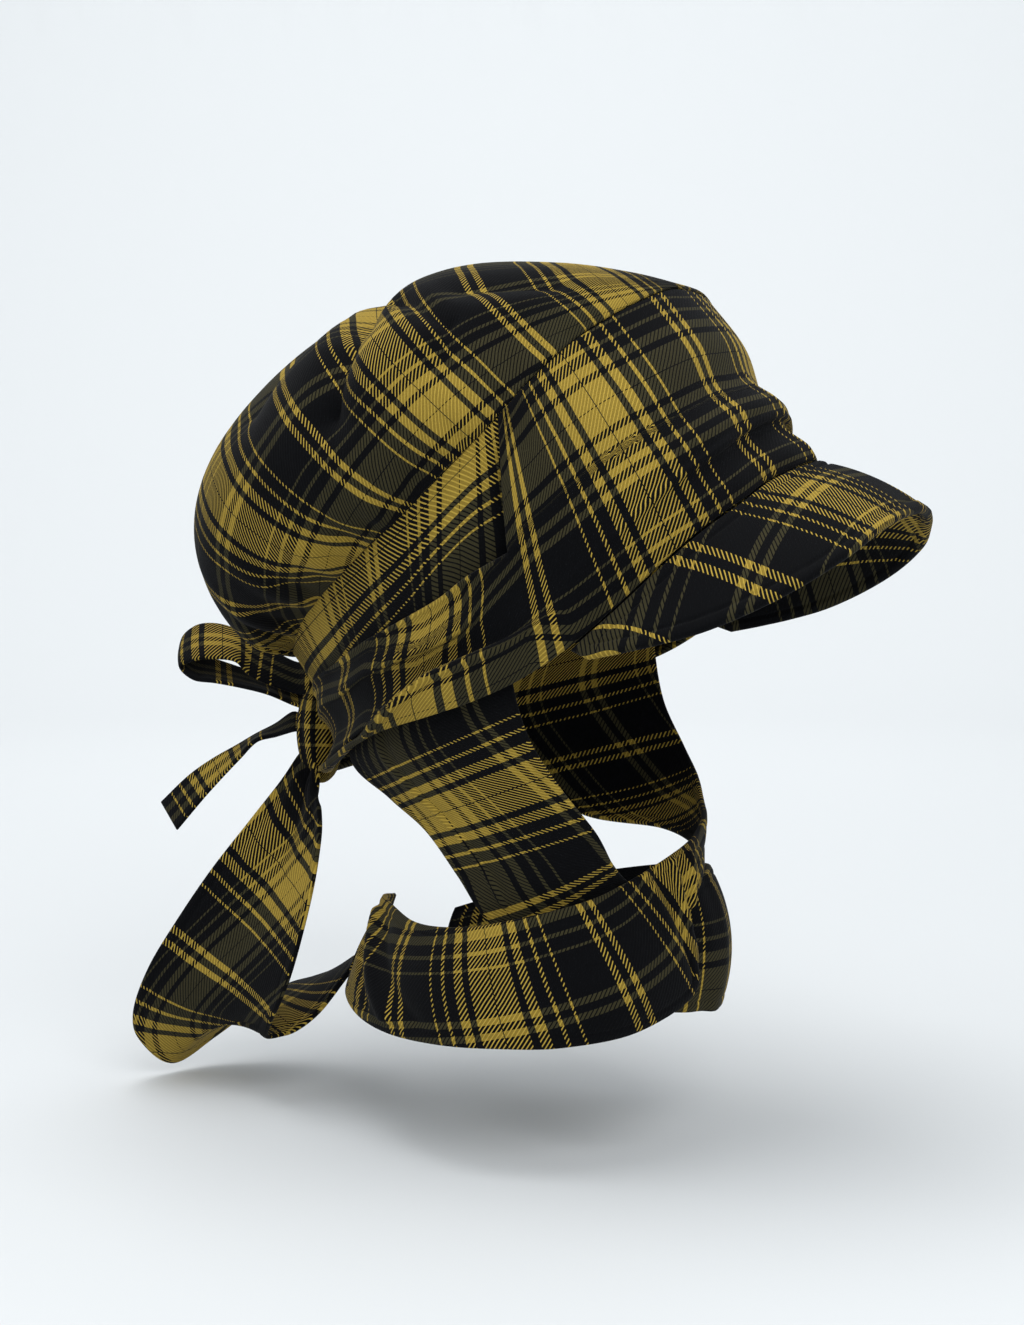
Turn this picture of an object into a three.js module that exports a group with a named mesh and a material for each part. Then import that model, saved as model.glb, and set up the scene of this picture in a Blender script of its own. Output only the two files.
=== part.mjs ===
// Soft peaked cap in checked twill with ear straps that wrap the neck and tie at the nape.
// Millimetres. +Z is up, the front of the cap is -Y, the wearer's right side is -X.
// The origin is the middle of the head opening.
import * as THREE from "three";

// Named sizes. Every table below holds shares of these lengths.
const HEAD_HALF_WIDTH = 84; // middle of the head opening to the side of the band
const HEAD_HALF_LENGTH = 105; // middle of the head opening to the foot of the front panel
const CROWN_HEIGHT = 125; // head opening to the top of the crown
const STRAP_DROP = 170; // head opening down to the lower edge of the neck wrap
const CLOTH = 2; // wall of the lined cap
const STRAP_CLOTH = 1.8; // wall of the straps, two layers of cloth
const PEAK_WALL = 3; // stiffened peak with its cloth
const PEAK_ARCH = 0.036; // rise of the peak between seam and edge, share of the head's half width
const SEAM_GAP = 0.95; // half of the room left where two pieces are sewn together
const FLAP_TOP = 0.37; // depth of the flaps' top edge below the opening, share of the crown height

// The seam under the crown, from the front middle over the right side to the nape.
const SEAM = [
  { x: 0, y: -0.543, z: 0.857 },
  { x: -0.214, y: -0.533, z: 0.853 },
  { x: -0.417, y: -0.514, z: 0.824 },
  { x: -0.619, y: -0.457, z: 0.771 },
  { x: -0.821, y: -0.371, z: 0.692 },
  { x: -1, y: -0.267, z: 0.579 },
  { x: -1.077, y: -0.162, z: 0.468 },
  { x: -1.083, y: 0, z: 0.336 },
  { x: -1, y: 0.238, z: 0.179 },
  { x: -0.857, y: 0.448, z: 0.068 },
  { x: -0.667, y: 0.667, z: -0.046 },
  { x: -0.417, y: 0.886, z: -0.147 },
  { x: -0.19, y: 1.029, z: -0.213 },
  { x: 0, y: 1.076, z: -0.241 },
];

// Foot of the front panel from the front middle to its side edge, with the place on the seam above it.
const PANEL = [
  { seam: 0, x: 0, y: -1, z: 0.351, swell: 0.012, rolls: 1 },
  { seam: 0.077, x: -0.179, y: -0.971, z: 0.329, swell: 0.018, rolls: 1 },
  { seam: 0.154, x: -0.357, y: -0.914, z: 0.289, swell: 0.03, rolls: 0.8 },
  { seam: 0.231, x: -0.536, y: -0.867, z: 0.234, swell: 0.048, rolls: 0.5 },
  { seam: 0.308, x: -0.714, y: -0.771, z: 0.154, swell: 0.06, rolls: 0.2 },
  { seam: 0.362, x: -0.833, y: -0.657, z: 0.053, swell: 0.071, rolls: 0 },
  { seam: 0.408, x: -0.917, y: -0.533, z: -0.058, swell: 0.083, rolls: 0 },
  { seam: 0.438, x: -0.976, y: -0.39, z: -0.17, swell: 0.095, rolls: 0 },
  { seam: 0.462, x: -1, y: -0.229, z: -0.262, swell: 0.095, rolls: 0 },
];

// The tie from the side edge of the panel to the knot: a is its lower edge, b its upper fold.
const TIE = [
  { ax: -1, ay: -0.229, az: -0.262, bx: -1.119, by: -0.181, bz: 0.079, swell: 0.095 },
  { ax: -0.988, ay: -0.048, az: -0.332, bx: -1.119, by: -0.067, bz: 0.02, swell: 0.06 },
  { ax: -0.94, ay: 0.152, az: -0.389, bx: -1.095, by: 0.057, bz: -0.049, swell: 0.06 },
  { ax: -0.821, ay: 0.362, az: -0.443, bx: -1.012, by: 0.248, bz: -0.124, swell: 0.06 },
  { ax: -0.643, ay: 0.552, az: -0.507, bx: -0.869, by: 0.448, bz: -0.195, swell: 0.06 },
  { ax: -0.452, ay: 0.705, az: -0.571, bx: -0.655, by: 0.638, bz: -0.269, swell: 0.048 },
  { ax: -0.298, ay: 0.819, az: -0.616, bx: -0.452, by: 0.8, bz: -0.326, swell: 0.036 },
  { ax: -0.113, ay: 0.929, az: -0.654, bx: -0.157, by: 0.957, bz: -0.389, swell: 0.024 },
];

// Lower edge of the back band from under the panel's side edge to the nape.
const BAND = [
  { seam: 0.475, x: -0.94, y: -0.21, z: -0.146, swell: 0.024 },
  { seam: 0.51, x: -0.952, y: -0.038, z: -0.183, swell: 0.024 },
  { seam: 0.58, x: -0.905, y: 0.133, z: -0.231, swell: 0.024 },
  { seam: 0.69, x: -0.738, y: 0.362, z: -0.32, swell: 0.024 },
  { seam: 0.8, x: -0.536, y: 0.571, z: -0.386, swell: 0.012 },
  { seam: 0.9, x: -0.286, y: 0.724, z: -0.39, swell: 0 },
  { seam: 1, x: 0, y: 0.79, z: -0.385, swell: 0 },
];

// Outer edge of the peak from the front middle to its end at the side.
const PEAK_EDGE = [
  { x: 0, y: -1.39, z: 0.203 },
  { x: -0.262, y: -1.371, z: 0.186 },
  { x: -0.5, y: -1.333, z: 0.147 },
  { x: -0.69, y: -1.276, z: 0.088 },
  { x: -0.833, y: -1.162, z: 0.013 },
  { x: -0.917, y: -1.019, z: -0.058 },
  { x: -0.976, y: -0.857, z: -0.12 },
  { x: -1.012, y: -0.705, z: -0.159 },
  { x: -1.024, y: -0.571, z: -0.186 },
  { x: -1, y: -0.457, z: -0.207 },
];

// Crown sections from the front to the nape: belly is the half width, y and z the ridge.
const CROWN = [
  { seam: 0.04, belly: 0.155, y: -0.524, z: 0.867 },
  { seam: 0.19, belly: 0.548, y: -0.352, z: 0.907 },
  { seam: 0.32, belly: 0.881, y: -0.114, z: 0.94 },
  { seam: 0.45, belly: 1.119, y: 0.19, z: 0.946 },
  { seam: 0.54, belly: 1.214, y: 0.457, z: 0.882 },
  { seam: 0.62, belly: 1.226, y: 0.705, z: 0.778 },
  { seam: 0.7, belly: 1.19, y: 0.924, z: 0.635 },
  { seam: 0.78, belly: 1.107, y: 1.114, z: 0.453 },
  { seam: 0.86, belly: 0.893, y: 1.219, z: 0.25 },
  { seam: 0.93, belly: 0.571, y: 1.195, z: 0.027 },
  { seam: 0.98, belly: 0.238, y: 1.129, z: -0.115 },
];

// Half outline of a crown section: side from the seam (0) to the belly (1), rise from the seam to the ridge.
const ARCH = [
  { side: 0, rise: 0 },
  { side: 0.75, rise: 0.13 },
  { side: 1, rise: 0.34 },
  { side: 0.97, rise: 0.56 },
  { side: 0.8, rise: 0.78 },
  { side: 0.45, rise: 0.94 },
  { side: 0, rise: 1 },
];

// Valleys pressed into the slouched crown, each from a point a to a point b.
const FOLDS = [
  { ax: -1.238, ay: 0.4, az: 0.464, bx: -1.06, by: 0.39, bz: 0.736, width: 0.095, depth: 0.071 },
  { ax: -1.06, ay: 0.39, az: 0.736, bx: -0.536, by: 0.476, bz: 0.896, width: 0.107, depth: 0.095 },
  { ax: -0.536, ay: 0.476, az: 0.896, bx: 0.119, by: 0.571, bz: 0.896, width: 0.119, depth: 0.071 },
  { ax: -0.929, ay: 0.276, az: 0.816, bx: -1.107, by: 0.01, bz: 0.72, width: 0.06, depth: 0.042 },
  { ax: -1.107, ay: 0.01, az: 0.72, bx: -1.167, by: 0, bz: 0.608, width: 0.083, depth: 0.03 },
  { ax: -0.94, ay: 0.019, az: 0.84, bx: -0.786, by: -0.267, bz: 0.848, width: 0.107, depth: 0.036 },
  { ax: -1, ay: 0.8, az: 0.496, bx: -0.714, by: 0.667, bz: 0.768, width: 0.143, depth: 0.036 },
  { ax: 1.143, ay: 0.19, az: 0.624, bx: 0.714, by: 0.324, bz: 0.912, width: 0.119, depth: 0.06 },
  { ax: 0.714, ay: 0.324, az: 0.912, bx: 0.119, by: 0.571, bz: 0.896, width: 0.119, depth: 0.06 },
  { ax: 1.19, ay: 0.629, az: 0.32, bx: 0.952, by: 0.8, bz: 0.576, width: 0.143, depth: 0.048 },
  { ax: 1, ay: -0.076, az: 0.768, bx: 0.714, by: -0.248, bz: 0.864, width: 0.107, depth: 0.036 },
];

// The straps' tables give down from the flaps' top edge (0) to the lower edge of the neck wrap (1).

// Right ear flap and its strap, forward under the chin and round the left side of the neck.
const STRAP_RIGHT = [
  { ax: -0.917, ay: -0.152, aDown: -0.215, bx: -0.492, by: 0.527, bDown: -0.007, swell: -0.077 },
  { ax: -0.917, ay: -0.162, aDown: -0.078, bx: -0.488, by: 0.629, bDown: 0.191, swell: -0.083 },
  { ax: -0.881, ay: -0.21, aDown: 0.076, bx: -0.548, by: 0.448, bDown: 0.303, swell: -0.095 },
  { ax: -0.833, ay: -0.305, aDown: 0.214, bx: -0.643, by: 0.267, bDown: 0.388, swell: -0.071 },
  { ax: -0.738, ay: -0.41, aDown: 0.353, bx: -0.702, by: 0.124, bDown: 0.51, swell: -0.048 },
  { ax: -0.619, ay: -0.438, aDown: 0.457, bx: -0.714, by: 0, bDown: 0.642, swell: -0.048 },
  { ax: -0.452, ay: -0.457, aDown: 0.53, bx: -0.619, by: -0.19, bDown: 0.779, swell: -0.036 },
  { ax: -0.262, ay: -0.505, aDown: 0.565, bx: -0.44, by: -0.4, bDown: 0.905, swell: -0.024 },
  { ax: 0, ay: -0.571, aDown: 0.562, bx: -0.083, by: -0.638, bDown: 0.959, swell: -0.071 },
  { ax: 0.262, ay: -0.552, aDown: 0.547, bx: 0.298, by: -0.59, bDown: 0.964, swell: -0.071 },
  { ax: 0.476, ay: -0.438, aDown: 0.57, bx: 0.524, by: -0.438, bDown: 0.939, swell: -0.048 },
  { ax: 0.619, ay: -0.267, aDown: 0.599, bx: 0.69, by: -0.229, bDown: 0.936, swell: -0.036 },
  { ax: 0.643, ay: -0.038, aDown: 0.637, bx: 0.714, by: 0, bDown: 0.941, swell: -0.036 },
  { ax: 0.583, ay: 0.171, aDown: 0.68, bx: 0.643, by: 0.21, bDown: 0.952, swell: -0.036 },
  { ax: 0.44, ay: 0.343, aDown: 0.718, bx: 0.488, by: 0.4, bDown: 0.959, swell: -0.036 },
  { ax: 0.238, ay: 0.476, aDown: 0.75, bx: 0.262, by: 0.533, bDown: 0.969, swell: -0.036 },
];

// Left ear flap and its strap, over the right strap and round the right side to the nape.
const STRAP_LEFT = [
  { ax: 0.917, ay: -0.152, aDown: -0.215, bx: 0.492, by: 0.527, bDown: -0.007, swell: 0.077 },
  { ax: 0.917, ay: -0.162, aDown: -0.078, bx: 0.488, by: 0.629, bDown: 0.191, swell: 0.083 },
  { ax: 0.881, ay: -0.21, aDown: 0.076, bx: 0.548, by: 0.448, bDown: 0.303, swell: 0.095 },
  { ax: 0.833, ay: -0.305, aDown: 0.214, bx: 0.643, by: 0.267, bDown: 0.388, swell: 0.071 },
  { ax: 0.69, ay: -0.4, aDown: 0.3, bx: 0.69, by: 0.057, bDown: 0.46, swell: 0.06 },
  { ax: 0.476, ay: -0.476, aDown: 0.359, bx: 0.595, by: -0.267, bDown: 0.471, swell: 0.036 },
  { ax: 0.238, ay: -0.543, aDown: 0.387, bx: 0.321, by: -0.476, bDown: 0.489, swell: 0.024 },
  { ax: 0, ay: -0.571, aDown: 0.416, bx: 0.024, by: -0.59, bDown: 0.511, swell: 0.012 },
  { ax: -0.167, ay: -0.581, aDown: 0.43, bx: -0.167, by: -0.629, bDown: 0.558, swell: 0.012 },
  { ax: -0.333, ay: -0.562, aDown: 0.453, bx: -0.321, by: -0.61, bDown: 0.663, swell: 0.024 },
  { ax: -0.548, ay: -0.495, aDown: 0.499, bx: -0.333, by: -0.667, bDown: 0.846, swell: 0.036 },
  { ax: -0.726, ay: -0.39, aDown: 0.549, bx: -0.631, by: -0.543, bDown: 0.937, swell: 0.06 },
  { ax: -0.833, ay: -0.21, aDown: 0.596, bx: -0.857, by: -0.333, bDown: 0.971, swell: 0.048 },
  { ax: -0.857, ay: -0.048, aDown: 0.632, bx: -0.94, by: -0.105, bDown: 0.981, swell: 0.048 },
  { ax: -0.798, ay: 0.133, aDown: 0.658, bx: -0.94, by: 0.105, bDown: 0.988, swell: 0.06 },
  { ax: -0.655, ay: 0.305, aDown: 0.672, bx: -0.845, by: 0.324, bDown: 0.992, swell: 0.06 },
  { ax: -0.44, ay: 0.467, aDown: 0.665, bx: -0.679, by: 0.514, bDown: 0.984, swell: 0.048 },
  { ax: -0.214, ay: 0.6, aDown: 0.659, bx: -0.452, by: 0.667, bDown: 0.962, swell: 0.024 },
  { ax: 0, ay: 0.648, aDown: 0.681, bx: -0.19, by: 0.762, bDown: 0.932, swell: -0.024 },
];

// The slack end of the left strap: out from the nape, over at the bottom and up into the knot.
const TAIL_LOOP = [
  { ax: 0.011, ay: 0.65, aDown: 0.682, bx: -0.18, by: 0.767, bDown: 0.931, swell: 0.024 },
  { ax: 0.036, ay: 0.695, aDown: 0.766, bx: 0.143, by: 0.848, bDown: 0.952, swell: 0 },
  { ax: -0.024, ay: 0.782, aDown: 0.894, bx: 0.405, by: 0.93, bDown: 0.963, swell: -0.024 },
  { ax: -0.06, ay: 0.842, aDown: 0.971, bx: 0.429, by: 1.046, bDown: 1.021, swell: -0.036 },
  { ax: -0.119, ay: 0.928, aDown: 1.08, bx: 0.44, by: 1.191, bDown: 1.069, swell: -0.048 },
  { ax: -0.167, ay: 1.01, aDown: 1.143, bx: 0.429, by: 1.304, bDown: 1.101, swell: -0.06 },
  { ax: -0.214, ay: 1.064, aDown: 1.16, bx: 0.381, by: 1.417, bDown: 1.157, swell: -0.083 },
  { ax: -0.286, ay: 1.085, aDown: 1.154, bx: 0.238, by: 1.577, bDown: 1.274, swell: -0.107 },
  { ax: -0.381, ay: 1.041, aDown: 1.112, bx: 0.024, by: 1.679, bDown: 1.344, swell: -0.107 },
  { ax: -0.452, ay: 0.987, aDown: 1.056, bx: -0.167, by: 1.732, bDown: 1.239, swell: -0.095 },
  { ax: -0.488, ay: 0.935, aDown: 0.988, bx: -0.286, by: 1.701, bDown: 1.121, swell: -0.083 },
  { ax: -0.488, ay: 0.887, aDown: 0.887, bx: -0.357, by: 1.591, bDown: 0.951, swell: -0.071 },
  { ax: -0.476, ay: 0.839, aDown: 0.739, bx: -0.357, by: 1.45, bDown: 0.772, swell: -0.071 },
  { ax: -0.452, ay: 0.806, aDown: 0.595, bx: -0.321, by: 1.311, bDown: 0.601, swell: -0.071 },
  { ax: -0.405, ay: 0.799, aDown: 0.455, bx: -0.262, by: 1.167, bDown: 0.439, swell: -0.06 },
  { ax: -0.31, ay: 0.84, aDown: 0.379, bx: -0.143, by: 1.087, bDown: 0.32, swell: -0.036 },
  { ax: -0.179, ay: 0.904, aDown: 0.342, bx: -0.036, by: 1.058, bDown: 0.244, swell: -0.012 },
];

// Middle and half sizes of the knot.
const KNOT = [
  { x: 0, y: 0.966, z: -0.524, halfX: 0.124, halfY: 0.095, halfZ: 0.172 },
];

// The loop of the bow.
const BOW_LOOP = [
  { ax: 0.083, ay: 1.112, az: -0.338, bx: -0.06, by: 1.054, bz: -0.408, swell: 0.012 },
  { ax: 0.107, ay: 1.299, az: -0.239, bx: -0.095, by: 1.229, bz: -0.348, swell: 0.012 },
  { ax: 0.107, ay: 1.404, az: -0.201, bx: -0.107, by: 1.295, bz: -0.3, swell: 0.012 },
  { ax: 0.095, ay: 1.486, az: -0.185, bx: -0.107, by: 1.391, bz: -0.292, swell: 0.012 },
  { ax: 0.083, ay: 1.565, az: -0.193, bx: -0.107, by: 1.473, bz: -0.298, swell: 0.012 },
  { ax: 0.071, ay: 1.621, az: -0.235, bx: -0.095, by: 1.553, bz: -0.324, swell: 0.012 },
  { ax: 0.071, ay: 1.584, az: -0.282, bx: -0.107, by: 1.488, bz: -0.362, swell: 0.012 },
  { ax: 0.083, ay: 1.482, az: -0.304, bx: -0.107, by: 1.387, bz: -0.369, swell: 0.012 },
  { ax: 0.083, ay: 1.362, az: -0.331, bx: -0.107, by: 1.265, bz: -0.382, swell: 0.012 },
  { ax: 0.071, ay: 1.234, az: -0.361, bx: -0.107, by: 1.144, bz: -0.401, swell: 0.012 },
  { ax: 0.06, ay: 1.102, az: -0.39, bx: -0.06, by: 1.041, bz: -0.441, swell: 0.012 },
];

// The loose end of the tie.
const TIE_END = [
  { ax: 0.048, ay: 1.106, az: -0.469, bx: -0.071, by: 1.054, bz: -0.523, swell: 0 },
  { ax: 0.048, ay: 1.188, az: -0.512, bx: -0.071, by: 1.135, bz: -0.542, swell: 0 },
  { ax: 0.036, ay: 1.274, az: -0.551, bx: -0.095, by: 1.214, bz: -0.56, swell: 0 },
  { ax: 0.012, ay: 1.355, az: -0.59, bx: -0.095, by: 1.287, bz: -0.619, swell: 0 },
  { ax: 0, ay: 1.461, az: -0.637, bx: -0.071, by: 1.382, bz: -0.692, swell: 0 },
  { ax: 0, ay: 1.574, az: -0.7, bx: -0.071, by: 1.47, bz: -0.767, swell: 0 },
  { ax: 0, ay: 1.703, az: -0.795, bx: -0.071, by: 1.593, bz: -0.879, swell: 0 },
];

const cap = (x, y, z) => [x * HEAD_HALF_WIDTH, y * HEAD_HALF_LENGTH, z * CROWN_HEIGHT];
const FLAP_TOP_DROP = FLAP_TOP * CROWN_HEIGHT;
const strap = (x, y, down) => [
  x * HEAD_HALF_WIDTH,
  y * HEAD_HALF_LENGTH,
  -FLAP_TOP_DROP - down * (STRAP_DROP - FLAP_TOP_DROP),
];
const mix = (a, b, t) => a.map((v, i) => v + (b[i] - v) * t);
const add = (a, b, s = 1) => a.map((v, i) => v + b[i] * s);
const sub = (a, b) => a.map((v, i) => v - b[i]);
const cross = (a, b) => [
  a[1] * b[2] - a[2] * b[1],
  a[2] * b[0] - a[0] * b[2],
  a[0] * b[1] - a[1] * b[0],
];
const unit = (a) => {
  const length = Math.hypot(...a) || 1;
  return a.map((v) => v / length);
};

// The value at t (0 to 1) of the smooth curve through rows of numbers.
function curve(rows, t) {
  const n = rows.length - 1;
  const s = Math.min(Math.max(t * n, 0), n - 1e-9);
  const k = Math.floor(s);
  const f = s - k;
  const row = (i) => {
    if (i < 0) return rows[0].map((v, j) => 2 * v - rows[1][j]);
    if (i > n) return rows[n].map((v, j) => 2 * v - rows[n - 1][j]);
    return rows[i];
  };
  const [a, b, c, d] = [row(k - 1), row(k), row(k + 1), row(k + 2)];
  return b.map(
    (v, j) =>
      0.5 * (2 * v + (c[j] - a[j]) * f + (2 * a[j] - 5 * v + 4 * c[j] - d[j]) * f ** 2 +
        (3 * v - a[j] - 3 * c[j] + d[j]) * f ** 3),
  );
}

const SEAM_ROWS = SEAM.map((r) => cap(r.x, r.y, r.z));
const seam = (t) => curve(SEAM_ROWS, t);

// A smooth grid of points through a net of rows of points.
function surface(net, along, across) {
  const grid = [];
  for (let i = 0; i <= along; i++) {
    const row = net[0].map((_, j) => curve(net.map((r) => r[j]), i / along));
    grid.push(Array.from({ length: across + 1 }, (_, j) => curve(row, j / across)));
  }
  return grid;
}

// Outward normals of a grid of points.
function normals(grid) {
  const last = grid.length - 1;
  const end = grid[0].length - 1;
  return grid.map((row, i) =>
    row.map((_, j) => {
      const du = sub(grid[Math.min(i + 1, last)][j], grid[Math.max(i - 1, 0)][j]);
      const dv = sub(row[Math.min(j + 1, end)], row[Math.max(j - 1, 0)]);
      return unit(cross(du, dv));
    }),
  );
}

// A closed wall of even thickness about a grid of points. keep(i, j) says which cells are cloth.
function wall(grid, thickness, keep = () => true) {
  const normal = normals(grid);
  const rows = grid.length - 1;
  const cols = grid[0].length - 1;
  const side = [0.5, -0.5].map((s) =>
    grid.map((row, i) => row.map((p, j) => add(p, normal[i][j], s * thickness))),
  );
  const points = [];
  const quad = (a, b, c, d) => points.push(...a, ...b, ...c, ...a, ...c, ...d);
  const cloth = (i, j) => i >= 0 && j >= 0 && i < rows && j < cols && keep(i, j);
  const [up, down] = side;
  for (let i = 0; i < rows; i++) {
    for (let j = 0; j < cols; j++) {
      if (!cloth(i, j)) continue;
      quad(up[i][j], up[i + 1][j], up[i + 1][j + 1], up[i][j + 1]);
      quad(down[i][j], down[i][j + 1], down[i + 1][j + 1], down[i + 1][j]);
      if (!cloth(i - 1, j)) quad(down[i][j], up[i][j], up[i][j + 1], down[i][j + 1]);
      if (!cloth(i + 1, j)) quad(up[i + 1][j], down[i + 1][j], down[i + 1][j + 1], up[i + 1][j + 1]);
      if (!cloth(i, j - 1)) quad(up[i][j], down[i][j], down[i + 1][j], up[i + 1][j]);
      if (!cloth(i, j + 1)) quad(down[i][j + 1], up[i][j + 1], up[i + 1][j + 1], down[i + 1][j + 1]);
    }
  }
  return new THREE.BufferGeometry().setAttribute(
    "position",
    new THREE.Float32BufferAttribute(points, 3),
  );
}

// How far cloth stands out at share v of its height when it swells by a share of the head's half width.
const bulge = (v, swell) => swell * HEAD_HALF_WIDTH * 4 * v * (1 - v);

// A ribbon between two edges, swelling between them by the swell column.
function ribbon(net, along, across) {
  const grid = [];
  for (let i = 0; i <= along; i++) {
    const row = curve(net, i / along);
    const ahead = curve(net, Math.min(i / along + 0.01, 1));
    const behind = curve(net, Math.max(i / along - 0.01, 0));
    const a = row.slice(0, 3);
    const b = row.slice(3, 6);
    const middle = (r) => mix(r.slice(0, 3), r.slice(3, 6), 0.5);
    const out = unit(cross(sub(middle(ahead), middle(behind)), sub(b, a)));
    grid.push(
      Array.from({ length: across + 1 }, (_, j) => {
        const v = j / across;
        return add(mix(a, b, v), out, bulge(v, row[6]));
      }),
    );
  }
  return grid;
}

const mirrored = (p) => [-p[0], p[1], p[2]];

// A grid for the right side and its mirror image on the left, joined at the middle row.
const bothSides = (half) => [...half.slice(1).reverse().map((row) => row.map(mirrored)), ...half];

const VALLEYS = FOLDS.map((r) => ({
  from: cap(r.ax, r.ay, r.az),
  to: cap(r.bx, r.by, r.bz),
  width: r.width * HEAD_HALF_WIDTH,
  depth: r.depth * HEAD_HALF_WIDTH,
}));

// How deep the valleys press the crown at point p: each falls off as a bell curve across its line.
function valleyDepth(p) {
  let depth = 0;
  for (const valley of VALLEYS) {
    const line = sub(valley.to, valley.from);
    const reach = sub(p, valley.from);
    const along = (reach[0] * line[0] + reach[1] * line[1] + reach[2] * line[2]) / Math.hypot(...line) ** 2;
    const off = sub(reach, line.map((v) => v * Math.min(Math.max(along, 0), 1)));
    depth = Math.max(depth, valley.depth * Math.exp(-((Math.hypot(...off) / valley.width) ** 2)));
  }
  return depth;
}

// Crown: sections from the front to the nape, each an arch from the seam over the ridge, then its valleys.
function crownGrid(along, across) {
  const table = CROWN.map((r) => [r.seam, r.belly * HEAD_HALF_WIDTH, ...cap(0, r.y, r.z)]);
  const sections = [];
  for (let i = 0; i <= along; i++) {
    const [key, belly, ...ridge] = curve(table, i / along);
    const foot = add(seam(key), [0, 0, 1], SEAM_GAP);
    const half = ARCH.map((p, k) => {
      const q = mix(foot, ridge, p.rise);
      return [k < 3 ? foot[0] - p.side * (belly + foot[0]) : -p.side * belly, q[1], q[2]];
    });
    sections.push([...half, ...half.slice(0, -1).reverse().map(mirrored)]);
  }
  const grid = sections.map((row) => Array.from({ length: across + 1 }, (_, j) => curve(row, 1 - j / across)));
  const out = normals(grid);
  return grid.map((row, i) => row.map((p, j) => add(p, out[i][j], -valleyDepth(p))));
}

// Front wrap: the panel from the seam down to the peak, carried on below as a tie to the nape.
const WRAP_ROWS = [
  { height: 0, roll: 0, tie: 0, pleat: 0 },
  { height: 0.08, roll: 0.006, tie: 0.2, pleat: 0.01 },
  { height: 0.2, roll: -0.05, tie: 0.42, pleat: -0.02 },
  { height: 0.34, roll: 0.015, tie: 0.7, pleat: 0.015 },
  { height: 0.48, roll: -0.05, tie: 1, pleat: 0 },
  { height: 0.72, roll: 0.01, tie: 1.4, pleat: -0.01 },
  { height: 1, roll: 0, tie: 1.9, pleat: -0.02 },
];
function wrapGrid(along, across) {
  const panel = PANEL.map((r) => {
    const low = cap(r.x, r.y, r.z);
    const top = add(seam(r.seam), [0, 0, -1], SEAM_GAP);
    const out = unit([low[0] + top[0], low[1] + top[1], 0]);
    return WRAP_ROWS.map((w) =>
      add(mix(low, top, w.height), out, bulge(w.height, r.swell) + w.roll * r.rolls * HEAD_HALF_WIDTH),
    );
  });
  const tie = TIE.slice(1).map((r) => {
    const low = cap(r.ax, r.ay, r.az);
    const fold = cap(r.bx, r.by, r.bz);
    const out = unit([low[0] + fold[0], low[1] + fold[1], 0]);
    return WRAP_ROWS.map((w) =>
      add(mix(low, fold, w.tie), out, bulge(Math.min(w.tie, 1), r.swell) + w.pleat * HEAD_HALF_WIDTH),
    );
  });
  return bothSides(surface([...panel, ...tie], along, across));
}

// Back band: from the seam down to the edge of the head opening.
function bandGrid(along, across) {
  const table = BAND.map((r) => [r.seam, r.swell, ...cap(r.x, r.y, r.z)]);
  const half = [];
  for (let i = 0; i <= along; i++) {
    const [key, swell, ...low] = curve(table, i / along);
    const top = add(seam(key), [0, 0, -1], SEAM_GAP * 1.4);
    const out = unit([low[0] + top[0], low[1] + top[1], 0]);
    const point = (v) => add(mix(low, top, v), out, bulge(v, swell));
    half.push(Array.from({ length: across + 1 }, (_, j) => point(j / across)));
  }
  return [...half, ...half.slice(0, -1).reverse().map((row) => row.map(mirrored))];
}

// Peak: from just under the foot of the panel out to its edge, arched like a shallow barrel.
function peakGrid(along, across) {
  const foot = PANEL.slice(0, 8).map((r) => add(cap(r.x, r.y, r.z), [0, 0, -1], PEAK_WALL * 0.5 + SEAM_GAP));
  const rim = PEAK_EDGE.map((r) => cap(r.x, r.y, r.z));
  const half = [];
  for (let i = 0; i <= along; i++) {
    const a = curve(foot, i / along);
    const b = curve(rim, i / along);
    half.push(
      Array.from({ length: across + 1 }, (_, j) => {
        const v = j / across;
        return add(mix(b, a, v), [0, 0, 1], bulge(v, PEAK_ARCH) * (1 - (i / along) ** 2));
      }),
    );
  }
  return bothSides(half);
}

// Knot: a gathered lump of cloth, longer than it is wide, with shallow lengthwise creases.
function knotGeometry() {
  const ball = new THREE.SphereGeometry(1, 28, 14);
  const p = ball.attributes.position;
  const [knot] = KNOT;
  const middle = cap(knot.x, knot.y, knot.z);
  const half = cap(knot.halfX, knot.halfY, knot.halfZ);
  for (let i = 0; i < p.count; i++) {
    const [x, y, z] = [p.getX(i), p.getZ(i), p.getY(i)];
    const crease = 1 - 0.05 * Math.cos(7 * Math.atan2(y, x)) * (1 - z * z);
    p.setXYZ(i, middle[0] - x * half[0] * crease, middle[1] + y * half[1] * crease, middle[2] + z * half[2]);
  }
  return ball;
}

const cloth = new THREE.Color(0.1, 0.1, 0.06);
const hat = new THREE.Group();
function piece(name, geometry) {
  geometry.computeVertexNormals();
  const material = new THREE.MeshStandardMaterial({ color: cloth, roughness: 0.9, name: "twill" });
  const mesh = new THREE.Mesh(geometry, material);
  mesh.name = name;
  hat.add(mesh);
}

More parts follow.
